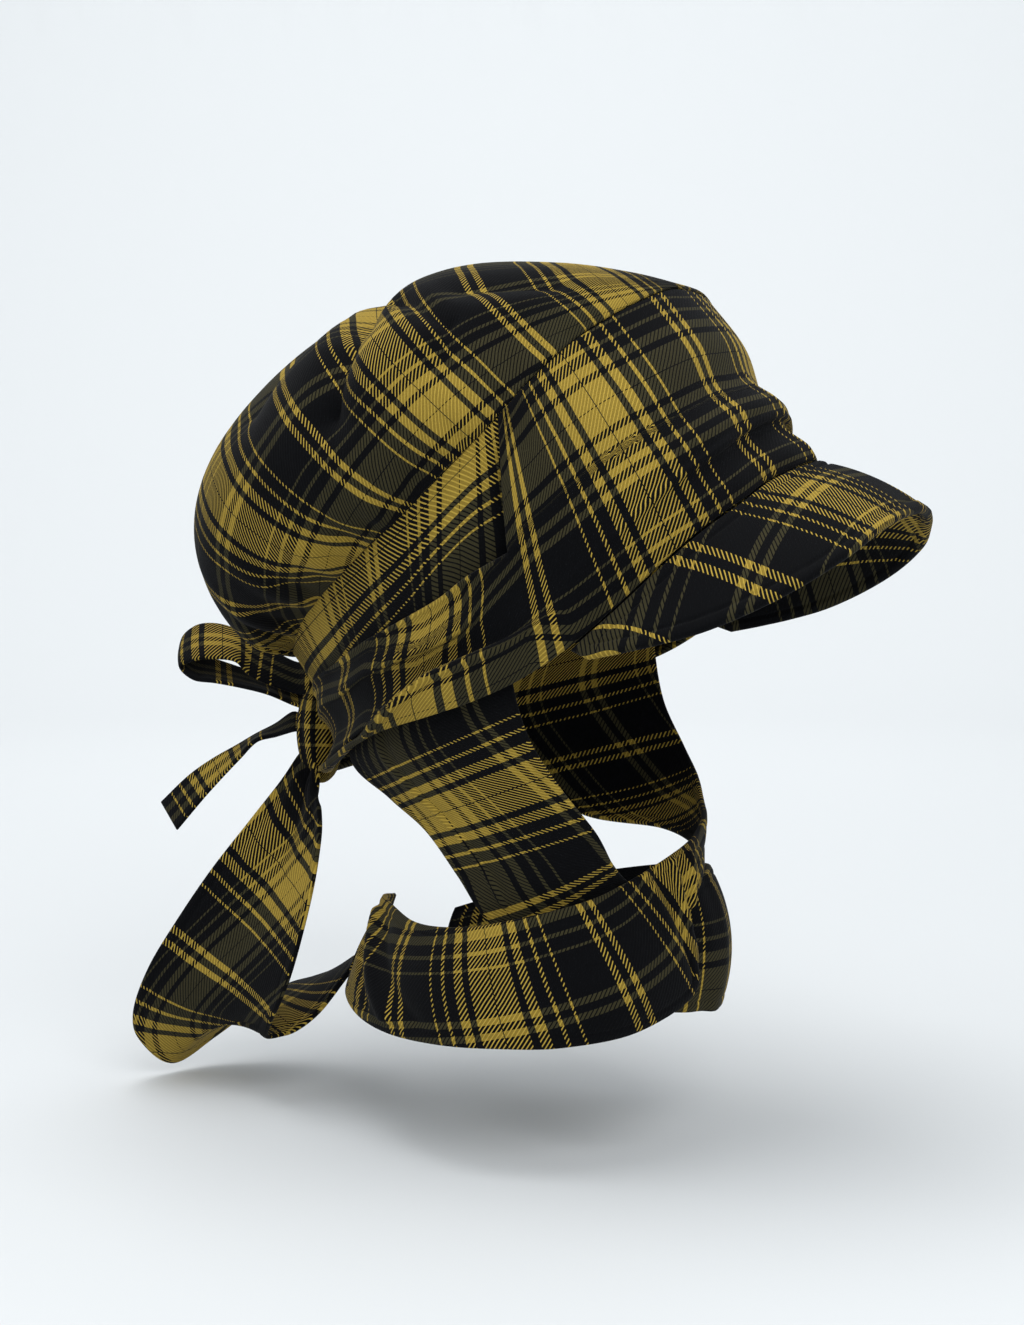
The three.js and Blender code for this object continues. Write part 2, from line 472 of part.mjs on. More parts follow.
const WRAP_ALONG = 28;
const WRAP_ACROSS = 9;
const TIE_ACROSS = (WRAP_ACROSS * 2) / 3;
const PANEL_CELLS = Math.round((WRAP_ALONG * (PANEL.length - 1)) / (PANEL.length + TIE.length - 2));
const wrapCloth = (i, j) => j < TIE_ACROSS || Math.abs(i + 0.5 - WRAP_ALONG) < PANEL_CELLS;
const strapRow = (r) => [...strap(r.ax, r.ay, r.aDown), ...strap(r.bx, r.by, r.bDown), r.swell];
const tieRow = (r) => [...cap(r.ax, r.ay, r.az), ...cap(r.bx, r.by, r.bz), r.swell];
piece("crown", wall(crownGrid(28, 32), CLOTH));
piece("back_band", wall(bandGrid(18, 4), CLOTH));
piece("front_wrap", wall(wrapGrid(WRAP_ALONG, WRAP_ACROSS), CLOTH, wrapCloth));
piece("peak", wall(peakGrid(14, 6), PEAK_WALL));
piece("strap_right", wall(ribbon(STRAP_RIGHT.map(strapRow), 42, 5), STRAP_CLOTH));
piece("strap_left", wall(ribbon(STRAP_LEFT.map(strapRow), 46, 5), STRAP_CLOTH));
piece("tail_loop", wall(ribbon(TAIL_LOOP.map(strapRow), 36, 5), STRAP_CLOTH));
piece("bow_loop", wall(ribbon(BOW_LOOP.map(tieRow), 24, 3), STRAP_CLOTH));
piece("tie_end", wall(ribbon(TIE_END.map(tieRow), 12, 3), STRAP_CLOTH));
piece("knot", knotGeometry());

export default hat;
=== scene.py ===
import bpy
import numpy as np
from mathutils import Matrix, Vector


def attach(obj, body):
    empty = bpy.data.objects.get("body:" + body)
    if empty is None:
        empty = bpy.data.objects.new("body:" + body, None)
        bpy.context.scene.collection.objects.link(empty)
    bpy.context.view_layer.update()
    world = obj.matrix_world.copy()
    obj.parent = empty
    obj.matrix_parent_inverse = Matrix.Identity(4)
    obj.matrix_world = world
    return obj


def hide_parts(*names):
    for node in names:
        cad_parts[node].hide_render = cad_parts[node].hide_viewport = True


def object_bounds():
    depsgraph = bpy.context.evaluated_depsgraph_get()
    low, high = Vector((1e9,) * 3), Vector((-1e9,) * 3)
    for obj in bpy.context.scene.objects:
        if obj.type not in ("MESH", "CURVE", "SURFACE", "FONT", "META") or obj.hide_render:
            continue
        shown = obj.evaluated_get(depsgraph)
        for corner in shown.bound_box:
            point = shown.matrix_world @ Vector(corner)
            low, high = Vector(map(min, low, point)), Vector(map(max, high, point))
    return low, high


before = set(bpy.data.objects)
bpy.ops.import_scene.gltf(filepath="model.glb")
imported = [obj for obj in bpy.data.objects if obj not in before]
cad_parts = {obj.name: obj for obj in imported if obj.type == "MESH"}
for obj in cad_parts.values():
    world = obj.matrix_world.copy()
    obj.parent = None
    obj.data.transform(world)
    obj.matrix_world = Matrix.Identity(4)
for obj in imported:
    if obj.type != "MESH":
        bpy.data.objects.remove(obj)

# Photograph's view
# The picture is taken from the wearer's right and a little in front, 0.82 m away. The horizon lies above
# the middle of the picture, so the camera looks slightly down. Pixels are those of the 1024 by 1325 frame.
cad_box = [list(map(float, corner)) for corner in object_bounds()]
VIEW_SIDE = np.radians(293.0)
VIEW_DISTANCE = 0.82
METRES_PER_PIXEL = 0.00039
PICTURE = np.array([1024.0, 1325.0])
SENSOR_WIDTH_MM = 36.0
HORIZON_PIXEL = 500.0
ORIGIN_PIXEL = np.array([550.0, 575.0])
focal_pixels = VIEW_DISTANCE / METRES_PER_PIXEL
pitch = np.arctan((HORIZON_PIXEL - PICTURE[1] / 2) / focal_pixels)
flat_back = np.array([np.sin(VIEW_SIDE), -np.cos(VIEW_SIDE), 0.0])
to_right = np.cross(-flat_back, [0.0, 0.0, 1.0])
to_eye = flat_back * np.cos(pitch) - np.array([0.0, 0.0, 1.0]) * np.sin(pitch)
to_top = np.cross(to_eye, to_right)
across, down = (ORIGIN_PIXEL - PICTURE / 2) * METRES_PER_PIXEL
eye = to_eye * VIEW_DISTANCE - to_right * across + to_top * down
camera = bpy.data.objects.new("camera", bpy.data.cameras.new("camera"))
camera.data.sensor_width = SENSOR_WIDTH_MM
camera.data.lens = focal_pixels / PICTURE.max() * SENSOR_WIDTH_MM
camera.data.clip_end = 20.0
turn = np.eye(4)
turn[:3, :3] = np.stack([to_right, to_top, to_eye], axis=1)
turn[:3, 3] = eye
camera.matrix_world = Matrix(turn.tolist())
bpy.context.scene.collection.objects.link(camera)
bpy.context.scene.camera = camera

# Crown
# The slouched bag of the cap: one piece of brushed tartan twill, gathered into the seam that climbs
# from the nape to the top of the front panel. Its slack cloth falls into a few soft valleys.
HALF_WIDTH, HALF_LENGTH, CROWN_HEIGHT = 0.084, 0.105, 0.125
CAP_SIZE = np.array([HALF_WIDTH, HALF_LENGTH, CROWN_HEIGHT])
CLOTH = 0.002
RIM = 0.6  # reach of the rounded edge, share of the wall
SEAM_GAP = 0.0003
# Columns: x, y, z, as shares of the half width, the half length and the crown's height
SEAM = np.array([
    (0, -0.543, 0.857), (-0.214, -0.533, 0.853), (-0.417, -0.514, 0.824), (-0.619, -0.457, 0.771),
    (-0.821, -0.371, 0.692), (-1, -0.267, 0.579), (-1.077, -0.162, 0.468), (-1.083, 0, 0.336),
    (-1, 0.238, 0.179), (-0.857, 0.448, 0.068), (-0.667, 0.667, -0.046), (-0.417, 0.886, -0.147),
    (-0.19, 1.029, -0.213), (0, 1.076, -0.241),
])
# Columns: place along the seam, half width, ridge y, ridge z
CROWN = np.array([
    (0.04, 0.155, -0.524, 0.867), (0.19, 0.548, -0.352, 0.907), (0.32, 0.881, -0.114, 0.94),
    (0.45, 1.119, 0.19, 0.946), (0.54, 1.214, 0.457, 0.882), (0.62, 1.226, 0.705, 0.778),
    (0.7, 1.19, 0.924, 0.635), (0.78, 1.107, 1.114, 0.453), (0.86, 0.893, 1.219, 0.25),
    (0.93, 0.571, 1.195, 0.027), (0.98, 0.238, 1.129, -0.115),
])
# Columns: share of the half width, share of the rise from the seam to the ridge
ARCH = np.array([
    (0, 0), (0.75, 0.13), (1, 0.34), (0.97, 0.56), (0.8, 0.78), (0.45, 0.94), (0, 1),
])
# Columns: start x, y, z, end x, y, z, width, depth, the last two as shares of the half width
FOLDS = np.array([
    (-1.238, 0.4, 0.464, -1.06, 0.39, 0.736, 0.095, 0.071),
    (-1.06, 0.39, 0.736, -0.536, 0.476, 0.896, 0.107, 0.095),
    (-0.536, 0.476, 0.896, 0.119, 0.571, 0.896, 0.119, 0.071),
    (-0.929, 0.276, 0.816, -1.107, 0.01, 0.72, 0.06, 0.042),
    (-1.107, 0.01, 0.72, -1.167, 0, 0.608, 0.083, 0.03),
    (-0.94, 0.019, 0.84, -0.786, -0.267, 0.848, 0.107, 0.036),
    (-1, 0.8, 0.496, -0.714, 0.667, 0.768, 0.143, 0.036),
    (1.143, 0.19, 0.624, 0.714, 0.324, 0.912, 0.119, 0.06),
    (0.714, 0.324, 0.912, 0.119, 0.571, 0.896, 0.119, 0.06),
    (1.19, 0.629, 0.32, 0.952, 0.8, 0.576, 0.143, 0.048),
    (1, -0.076, 0.768, 0.714, -0.248, 0.864, 0.107, 0.036),
])


def smooth(rows, t):
    """Points at t (0 to 1) of the Catmull-Rom curve through rows: a cubic of the four rows round each t,
    with the row before the first and after the last put in line with their neighbours."""
    rows = np.asarray(rows, float)
    ends = 2 * rows[:1] - rows[1:2], 2 * rows[-1:] - rows[-2:-1]
    rows = np.concatenate([ends[0], rows, ends[1]])
    s = np.clip(np.asarray(t) * (len(rows) - 3), 0, len(rows) - 3 - 1e-9)
    k = s.astype(int)
    f = (s - k).reshape((-1,) + (1,) * (rows.ndim - 1))
    a, b, c, d = (rows[k + i] for i in range(4))
    return 0.5 * (2 * b + (c - a) * f + (2 * a - 5 * b + 4 * c - d) * f**2 + (3 * b - a - 3 * c + d) * f**3)


def seam_at(t):
    """The seam under the crown at t, from the front middle (0) to the nape (1) over the right side."""
    return smooth(SEAM * CAP_SIZE, t)


def unit(v):
    """Each vector over its own length."""
    return v / np.maximum(np.linalg.norm(v, axis=-1, keepdims=True), 1e-12)


def faces_out(grid):
    """Unit normals of a grid of points: the cross product of its two directions of growth."""
    return unit(np.cross(np.gradient(grid, axis=0), np.gradient(grid, axis=1)))


def steps(count, length, rim, hem=0.0):
    """count even shares of a length from 0 to 1, with close ones at both ends for the round rim and the
    hem."""
    near = np.array([0.0, 0.12, 0.45]) * rim
    if hem:
        near = np.concatenate([near, [rim, hem - 0.0014], hem + np.array([-0.0007, 0, 0.0007])])
    near, start = near / length, max(rim, hem and hem + 0.0014) / length
    return np.concatenate([near, np.linspace(start, 1 - start, count), 1 - near[::-1]])


def cloth_piece(name, grid, flat_uv, wall, keep=None, hem=0.0):
    """A closed wall of cloth about a grid of points. Half its thickness stands on each side of the grid and
    closes at every edge as a half circle, t/2 * sqrt(1 - (1 - d/r)^2) at distance d from the edge.
    A hem is a thicker edge with a shallow groove where it ends, at that distance from the edge. flat_uv is
    the place on the flat cloth, in metres."""
    rows, cols = grid.shape[:2]
    index = np.arange(rows * cols).reshape(rows, cols)
    cells = np.ones((rows - 1, cols - 1), bool) if keep is None else keep
    corners = np.stack([index[:-1, :-1], index[1:, :-1], index[1:, 1:], index[:-1, 1:]], axis=-1)[cells]
    padded = np.pad(cells, 1).astype(int)
    around = padded[:-1, :-1] + padded[1:, :-1] + padded[:-1, 1:] + padded[1:, 1:]
    points = grid.reshape(-1, 3)
    edge = ((around > 0) & (around < 4)).ravel()
    rim_points = points[edge]
    span = (points**2).sum(1)[:, None] + (rim_points**2).sum(1)[None] - 2 * points @ rim_points.T
    distance = np.sqrt(np.maximum(span.min(axis=1), 0))
    rim = wall * RIM
    half = wall / 2 * np.sqrt(np.clip(1 - (1 - np.minimum(distance / rim, 1)) ** 2, 0, 1))
    if hem:
        groove = 0.22 * wall * np.exp(-(((distance - hem) / 0.0007) ** 2))
        half = half * (1 + 0.25 * (distance < hem)) - groove
    half[edge] = 0
    outward = faces_out(grid).reshape(-1, 3)
    low = np.where(edge, np.arange(len(points)), np.arange(len(points)) + len(points))
    both = np.concatenate([points + outward * half[:, None], points - outward * half[:, None]])
    quads = np.concatenate([corners, low[corners][:, ::-1]])
    used, place = np.unique(quads, return_inverse=True)
    quads = place.reshape(quads.shape)
    mesh = bpy.data.meshes.new(name)
    mesh.from_pydata(both[used], [], quads)
    uv = np.concatenate([flat_uv.reshape(-1, 2)] * 2)[used]
    layer = mesh.uv_layers.new(name="cloth")
    layer.data.foreach_set("uv", uv[quads.ravel()].ravel())
    mesh.polygons.foreach_set("use_smooth", np.ones(len(quads), bool))
    mesh.update()
    piece = bpy.data.objects.new(name, mesh)
    bpy.context.scene.collection.objects.link(piece)
    return piece


def measured(grid):
    """Distances along the two directions of a grid, each summed from its first row or column."""
    along = np.linalg.norm(np.diff(grid, axis=0), axis=-1)
    over = np.linalg.norm(np.diff(grid, axis=1), axis=-1)
    return (np.concatenate([np.zeros((1, grid.shape[1])), np.cumsum(along, axis=0)]),
            np.concatenate([np.zeros((grid.shape[0], 1)), np.cumsum(over, axis=1)], axis=1))


def laid_flat(grid, start, rounds=600):
    """The flat cloth under a domed grid: start's points are pulled, round by round, until neighbours along
    both directions and both diagonals of the grid lie as far apart on the flat cloth as in space."""
    flat = start.copy()
    links = [((slice(1, None), slice(None)), (slice(None, -1), slice(None)), 1.0),
             ((slice(None), slice(1, None)), (slice(None), slice(None, -1)), 1.0),
             ((slice(1, None), slice(1, None)), (slice(None, -1), slice(None, -1)), 0.35),
             ((slice(1, None), slice(None, -1)), (slice(None, -1), slice(1, None)), 0.35)]
    for _ in range(rounds):
        pull = np.zeros_like(flat)
        weight = np.zeros(flat.shape[:2] + (1,))
        for head, tail, stiff in links:
            true = np.linalg.norm(grid[head] - grid[tail], axis=-1, keepdims=True)
            gap = flat[head] - flat[tail]
            now = np.linalg.norm(gap, axis=-1, keepdims=True)
            mend = gap * (true / np.maximum(now, 1e-9) - 1) * 0.5 * stiff
            pull[head] += mend
            pull[tail] -= mend
            weight[head] += stiff
            weight[tail] += stiff
        flat += pull / weight
    return flat


def cut_from_cloth(flat, angle, offset):
    """Turns and shifts flat points, in metres, to where the piece was cut from the tartan."""
    a = np.radians(angle)
    return flat @ np.array([[np.cos(a), np.sin(a)], [-np.sin(a), np.cos(a)]]) + np.array(offset)


def crown_grid(u, v):
    """Sections u from front to nape, each an arch v from the left seam over the ridge to the right seam:
    half width and rise follow ARCH between the seam's point and the ridge's. Narrow and broad valleys press
    it in, exp(-d^2) of the distance to the nape's seam lets it sag there, and gathers ripple it along the
    seam. Rows at both ends close it."""
    table = smooth(CROWN * [1, HALF_WIDTH, HALF_LENGTH, CROWN_HEIGHT], u)
    foot = seam_at(table[:, 0])
    belly, ridge_y, ridge_z = table[:, 1], table[:, 2], table[:, 3]
    side, rise = ARCH.T
    x = -side * belly[:, None] + (1 - side) * np.where(np.arange(len(side)) < 3, 1, 0) * foot[:, :1]
    y = foot[:, 1:2] + (ridge_y - foot[:, 1])[:, None] * rise
    z = foot[:, 2:3] + (ridge_z - foot[:, 2])[:, None] * rise
    half = np.stack([x, y, z], axis=-1)
    net = np.concatenate([half, half[:, -2::-1] * [-1, 1, 1]], axis=1)
    grid = np.swapaxes(smooth(np.swapaxes(net, 0, 1), 1 - v), 0, 1)
    creases = FOLDS * ([1] * 6 + [0.3, 0.35])
    pressed = valley_depth(grid, FOLDS) + valley_depth(grid, creases)
    nape = seam_at(np.array([1.0]))[0]
    near = np.exp(-(((grid[..., 1:2] - nape[1]) / 0.03) ** 2 + ((grid[..., 2:] - nape[2]) / 0.022) ** 2))
    grid = grid + near * [0, -0.003, -0.005]
    grid = grid + faces_out(grid) * (gathers(u[:, None], v[None] * (1 - v[None])) - pressed)[..., None]
    return np.concatenate([end_rows(grid[0], 3)[::-1], grid, end_rows(grid[-1], 8)])


def end_rows(arch, count):
    """The gathered end of the bag: the last arch drawn together, in even shares, onto the short line of the
    seam between its two feet."""
    foot = (arch[0] + arch[-1]) / 2
    narrow = np.abs(arch[0, 0]) / np.abs(arch[:, 0]).max()
    line = foot + arch * [narrow, 0, 0] - foot * [narrow, 0, 0]
    share = np.linspace(0, 1, count + 1)[1:, None, None]
    return arch + (line - arch) * share


def gathers(u, inward):
    """Small uneven ripples that fade from the seam: sin of an unevenly running place along it, times the
    distance d inward as d * exp(1 - d)."""
    d = inward / 0.035
    wide = np.sin(2 * np.pi * (11 * u + 0.7 * np.sin(7 * u)))
    fine = np.sin(2 * np.pi * (29 * u + 1.1 * np.sin(5 * u)))
    fade = np.clip(u / 0.3, 0, 1) ** 2 * np.clip((1 - u) / 0.1, 0, 1)
    return (0.0010 * wide + 0.0006 * fine) * d * np.exp(1 - d) * fade


def valley_depth(points, folds):
    """The deepest of the valleys at each point: depth * exp(-(d / width)^2) at distance d from its line."""
    depth = np.zeros(points.shape[:-1])
    starts, ends, sizes = folds[:, :3] * CAP_SIZE, folds[:, 3:6] * CAP_SIZE, folds[:, 6:] * HALF_WIDTH
    for start, end, (width, deep) in zip(starts, ends, sizes):
        line = end - start
        share = np.clip((points - start) @ line / (line @ line), 0, 1)
        off = np.linalg.norm(points - start - share[..., None] * line, axis=-1)
        depth = np.maximum(depth, deep * np.exp(-((off / width) ** 2)))
    return depth


def tartan_twill(name="brushed tartan twill"):
    """Brushed cotton twill. The sett mirrors about the middle of its double bar, so each thread's colour is
    looked up at its folded distance from it. A warp thread shows where the share of (u - v) / WALE is under
    the warp's share of the face, and the weft shows elsewhere. The coloured weft is painted as the mustard in
    shade where it lies deeper between the warp floats: dark olive between black warps and a darker mustard
    between mustard ones."""
    SETT = 0.093
    WALE = 0.0018
    WARP_SHARE = 0.31
    BLACK = (0.0016, 0.0018, 0.0024, 1)
    MUSTARD = (0.39, 0.27, 0.045, 1)
    # The coloured weft's two colours are the mustard with painted shade for lying deeper between the warp
    # floats: darker between mustard warps, and darker still and olive between black ones.
    WEFT_SHADED_AMONG_MUSTARD = (0.22, 0.15, 0.024, 1)
    WEFT_SHADED_AMONG_BLACK = (0.034, 0.030, 0.014, 1)
    # Bars of the half sett in millimetres from the middle of the double bar to the middle of the wide band.
    BARS = [(1.3, 3.9), (20.8, 21.7), (26.2, 27.7), (31.8, 35.6), (38.0, 46.2)]
    material = bpy.data.materials.new(name)
    material.use_nodes = True
    nodes, links = material.node_tree.nodes, material.node_tree.links
    shader = nodes["Principled BSDF"]
    shader.inputs["Roughness"].default_value = 0.88
    shader.inputs["Specular IOR Level"].default_value = 0.07
    shader.inputs["Sheen Weight"].default_value = 0.02
    shader.inputs["Sheen Roughness"].default_value = 0.5

    def math(kind, a, b=None, c=None):
        node = nodes.new("ShaderNodeMath")
        node.operation = kind
        for socket, value in zip(node.inputs, (a, b, c)):
            if isinstance(value, (int, float)):
                socket.default_value = value
            elif value is not None:
                links.new(value, socket)
        return node.outputs[0]

    def mix(kind, factor, a, b):
        node = nodes.new("ShaderNodeMix")
        node.data_type = "RGBA"
        node.blend_type = kind
        for socket, value in zip((node.inputs[0], node.inputs[6], node.inputs[7]), (factor, a, b)):
            if isinstance(value, (int, float, tuple)):
                socket.default_value = value
            else:
                links.new(value, socket)
        return node.outputs[2]

    def stripes(place):
        """1 on a coloured thread and 0 on a black one, from the place across the threads."""
        folded = math("PINGPONG", place, SETT / 2)
        ramp = nodes.new("ShaderNodeValToRGB")
        ramp.color_ramp.interpolation = "CONSTANT"
        stops = ramp.color_ramp.elements
        stops[0].position = 0
        stops[0].color = (0, 0, 0, 1)
        stops[1].position = BARS[0][0] * 0.002 / SETT
        stops[1].color = (1, 1, 1, 1)
        edges = [(edge, 1 - i) for bar in BARS for i, edge in enumerate(bar)]
        for place_mm, on in edges[1:]:
            stop = stops.new(place_mm * 0.002 / SETT)
            stop.color = (on, on, on, 1)
        links.new(math("MULTIPLY", folded, 2 / SETT), ramp.inputs[0])
        return ramp.outputs[0]

    coordinates = nodes.new("ShaderNodeUVMap")
    coordinates.uv_map = "cloth"
    waver = nodes.new("ShaderNodeTexNoise")
    waver.inputs["Scale"].default_value = 60
    links.new(coordinates.outputs[0], waver.inputs["Vector"])
    sway = math("MULTIPLY", math("SUBTRACT", waver.outputs["Fac"], 0.5), 0.0007)
    split = nodes.new("ShaderNodeSeparateXYZ")
    links.new(coordinates.outputs[0], split.inputs[0])
    u = math("ADD", split.outputs[0], sway)
    v = math("SUBTRACT", split.outputs[1], sway)
    warp = mix("MIX", stripes(u), BLACK, MUSTARD)
    # The coloured weft takes painted shade: olive between black warps, a darker mustard between mustard ones.
    weft = mix("MIX", stripes(v), BLACK, mix("MIX", stripes(u), WEFT_SHADED_AMONG_BLACK, WEFT_SHADED_AMONG_MUSTARD))
    wale = math("FRACT", math("DIVIDE", math("SUBTRACT", u, v), WALE))
    from_middle = math("ABSOLUTE", math("SUBTRACT", math("MULTIPLY", wale, 2), 1))
    warp_up = math("MULTIPLY_ADD", math("SUBTRACT", WARP_SHARE, from_middle), 6.0, 0.5)
    warp_up = math("MINIMUM", 1.0, math("MAXIMUM", 0.0, warp_up))
    colour = mix("MIX", warp_up, weft, warp)
    fleck = nodes.new("ShaderNodeTexNoise")
    fleck.inputs["Scale"].default_value = 1500
    fleck.inputs["Detail"].default_value = 3
    links.new(coordinates.outputs[0], fleck.inputs["Vector"])
    patch = nodes.new("ShaderNodeTexNoise")
    patch.inputs["Scale"].default_value = 35
    links.new(coordinates.outputs[0], patch.inputs["Vector"])
    patches = math("MULTIPLY", patch.outputs["Fac"], 0.3)
    shade = math("ADD", math("MULTIPLY", fleck.outputs["Fac"], 0.5), patches)
    tone = math("ADD", 0.6, shade)
    links.new(mix("MULTIPLY", 1.0, colour, tone), shader.inputs["Base Color"])
    relief = math("MULTIPLY_ADD", fleck.outputs["Fac"], 0.8, math("MULTIPLY", warp_up, 0.8))
    bump = nodes.new("ShaderNodeBump")
    bump.inputs["Distance"].default_value = 0.00018
    bump.inputs["Strength"].default_value = 0.55
    links.new(relief, bump.inputs["Height"])
    links.new(bump.outputs[0], shader.inputs["Normal"])
    return material


twill = tartan_twill()
u, v = steps(150, 0.30, CLOTH * RIM), steps(170, 0.36, CLOTH * RIM)
grid = crown_grid(u, v)
coarse_u, coarse_v = np.linspace(0, 1, 33), np.linspace(0, 1, 41)
coarse = crown_grid(coarse_u, coarse_v)[3:-8]
start = (coarse_u[:, None] - 0.5) * 0.30, (coarse_v[None] - 0.5) * 0.36
start = np.stack(np.broadcast_arrays(*start), axis=-1)
flat = laid_flat(coarse, start)
flat = np.swapaxes(smooth(np.swapaxes(smooth(flat, u), 0, 1), v), 0, 1)
# The closed ends go on from the last rows of the flat cloth.
inner = (flat[:1] - flat[4:5]) * 0.5
flat = np.concatenate([flat[:1] + inner * np.array([3, 2, 1])[:, None, None], flat,
                       flat[-1:] + (flat[-1:] - flat[-5:-4]) * 0.6 * np.arange(1, 9)[:, None, None]])
# The gathers take up cloth, so the flat piece is larger than the bag's surface.
GATHERED = 1.15
crown = cloth_piece("crown_bag", grid, cut_from_cloth(flat * GATHERED, 169, (0.0315, 0.1147)), CLOTH)
crown.data.materials.append(twill)
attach(crown, "root")
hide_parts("crown")

# Back band
# A doubled band of the same twill between the crown's seam and the opening. It runs from under one side
# edge of the front panel, where it is tucked in, round the nape to the other side's.
# Columns: place along the seam, lower edge x, y, z, swell
BAND = np.array([
    (0.475, -0.94, -0.21, -0.146, 0.024), (0.51, -0.952, -0.038, -0.183, 0.024),
    (0.58, -0.905, 0.133, -0.231, 0.024), (0.69, -0.738, 0.362, -0.32, 0.024),
    (0.8, -0.536, 0.571, -0.386, 0.012), (0.9, -0.286, 0.724, -0.39, 0), (1, 0, 0.79, -0.385, 0),
])


def stand_out(v, swell):
    """Cloth held at two edges stands out between them as 4 v (1 - v), by a share of the half width."""
    return (4 * v * (1 - v)) * (swell * HALF_WIDTH)[..., None]


def band_grid(u, v):
    """Straight lines from the lower edge (v 0) to just under the crown's seam (v 1), stood out by the swell,
    from one side over the nape (u) to the other. Both ends are tucked in under the front panel, and the
    lower edge drops towards the knot."""
    tucked = np.array([(0.40, -0.85, -0.56, -0.02, 0), (0.44, -0.92, -0.38, -0.11, 0)])
    table = smooth(np.concatenate([tucked, BAND]) * [1, HALF_WIDTH, HALF_LENGTH, CROWN_HEIGHT, 1], u)
    low = table[:, 1:4]
    low = low - np.array([0, 0, 0.016]) * (np.clip((u - 0.55) / 0.45, 0, 1) ** 2)[:, None]
    low = low + np.array([0, 0.008, -0.004]) * np.exp(-((low[:, :1] / 0.014) ** 2))
    top = seam_at(table[:, 0]) - [0, 0, SEAM_GAP]
    out = unit((low + top) * [1, 1, 0])
    inside = out * (0.0028 * np.clip(1.15 - u / 0.25, 0, 1))[:, None]
    low, top = low - inside, top - inside
    proud = out[:, None] * stand_out(v, table[:, 4])[..., None]
    half = low[:, None] + (top - low)[:, None] * v[:, None] + proud
    return np.concatenate([half, half[-2::-1] * [-1, 1, 1]])


u, v = steps(110, 0.20, CLOTH * RIM)[:-3], steps(26, 0.05, CLOTH * RIM)
u = u / u[-1]
grid = band_grid(u, v)
along, over = measured(grid)
middle = along[:, len(v) // 2][:, None]
flat = np.stack(np.broadcast_arrays(-over + over[:, -1:], middle - middle.max() / 2), axis=-1)
band = cloth_piece("nape_band", grid, cut_from_cloth(flat * [1, -1], 0, (0.041, -0.108)), CLOTH)
band.data.materials.append(twill)
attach(band, "root")
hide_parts("back_band")

# Front panel and ties
# The tall panel between the crown's seam and the peak, of doubled twill with a soft roll above the peak.
# Past its side edges it runs on as a pleated tie on each side, back to the knot at the nape.
# Columns: place along the seam, foot x, y, z, swell, share of the rolls
PANEL = np.array([
    (0, 0, -1, 0.351, 0.012, 1), (0.077, -0.179, -0.971, 0.329, 0.018, 1),
    (0.154, -0.357, -0.914, 0.289, 0.03, 0.8), (0.231, -0.536, -0.867, 0.234, 0.048, 0.5),
    (0.308, -0.714, -0.771, 0.154, 0.06, 0.2), (0.362, -0.833, -0.657, 0.053, 0.071, 0),
    (0.408, -0.917, -0.533, -0.058, 0.083, 0), (0.438, -0.976, -0.39, -0.17, 0.095, 0),
    (0.462, -1, -0.229, -0.262, 0.095, 0),
])
# Columns: lower edge x, y, z, fold line x, y, z, swell
TIE = np.array([
    (-0.988, -0.048, -0.332, -1.119, -0.067, 0.02, 0.06),
    (-0.94, 0.152, -0.389, -1.095, 0.057, -0.049, 0.06),
    (-0.821, 0.362, -0.443, -1.012, 0.248, -0.124, 0.06),
    (-0.643, 0.552, -0.507, -0.869, 0.448, -0.195, 0.06),
    (-0.452, 0.705, -0.571, -0.655, 0.638, -0.269, 0.048),
    (-0.298, 0.819, -0.616, -0.452, 0.8, -0.326, 0.036),
    (-0.06, 0.945, -0.65, -0.085, 0.965, -0.395, 0.024),
])
# Columns: height up the panel, roll, height up the tie, pleat
WRAP_ROWS = np.array([
    (0, 0, 0, 0), (0.08, 0.006, 0.2, 0.01), (0.2, -0.05, 0.42, -0.02), (0.34, 0.015, 0.7, 0.015),
    (0.48, -0.05, 1, 0), (0.72, 0.01, 1.4, -0.01), (1, 0, 1.9, -0.02),
])


def wrap_grid(u, v):
    """Rows of heights between the foot and the top edge, each stood out by its swell and by the roll or pleat
    of that height. The rows of the panel run on into those of the tie."""
    low = PANEL[:, 1:4] * CAP_SIZE
    top = seam_at(PANEL[:, 0]) - [0, 0, SEAM_GAP]
    out = unit((low + top) * [1, 1, 0])
    height, roll, tie, pleat = WRAP_ROWS.T
    proud = stand_out(height, PANEL[:, 4]) + roll * PANEL[:, 5:] * HALF_WIDTH
    panel = low[:, None] + (top - low)[:, None] * height[:, None] + out[:, None] * proud[..., None]
    low, fold = TIE[:, :3] * CAP_SIZE, TIE[:, 3:6] * CAP_SIZE
    out = unit((low + fold) * [1, 1, 0])
    proud = stand_out(np.minimum(tie, 1), TIE[:, 6]) + pleat * HALF_WIDTH
    ties = low[:, None] + (fold - low)[:, None] * tie[:, None] + out[:, None] * proud[..., None]
    half = smooth(np.concatenate([panel, ties]), u)
    half = np.swapaxes(smooth(np.swapaxes(half, 0, 1), v), 0, 1)
    return np.concatenate([half[:0:-1] * [-1, 1, 1], half])


# The tie takes the lower two thirds of the panel's rows.
TIE_SHARE = 2 / 3


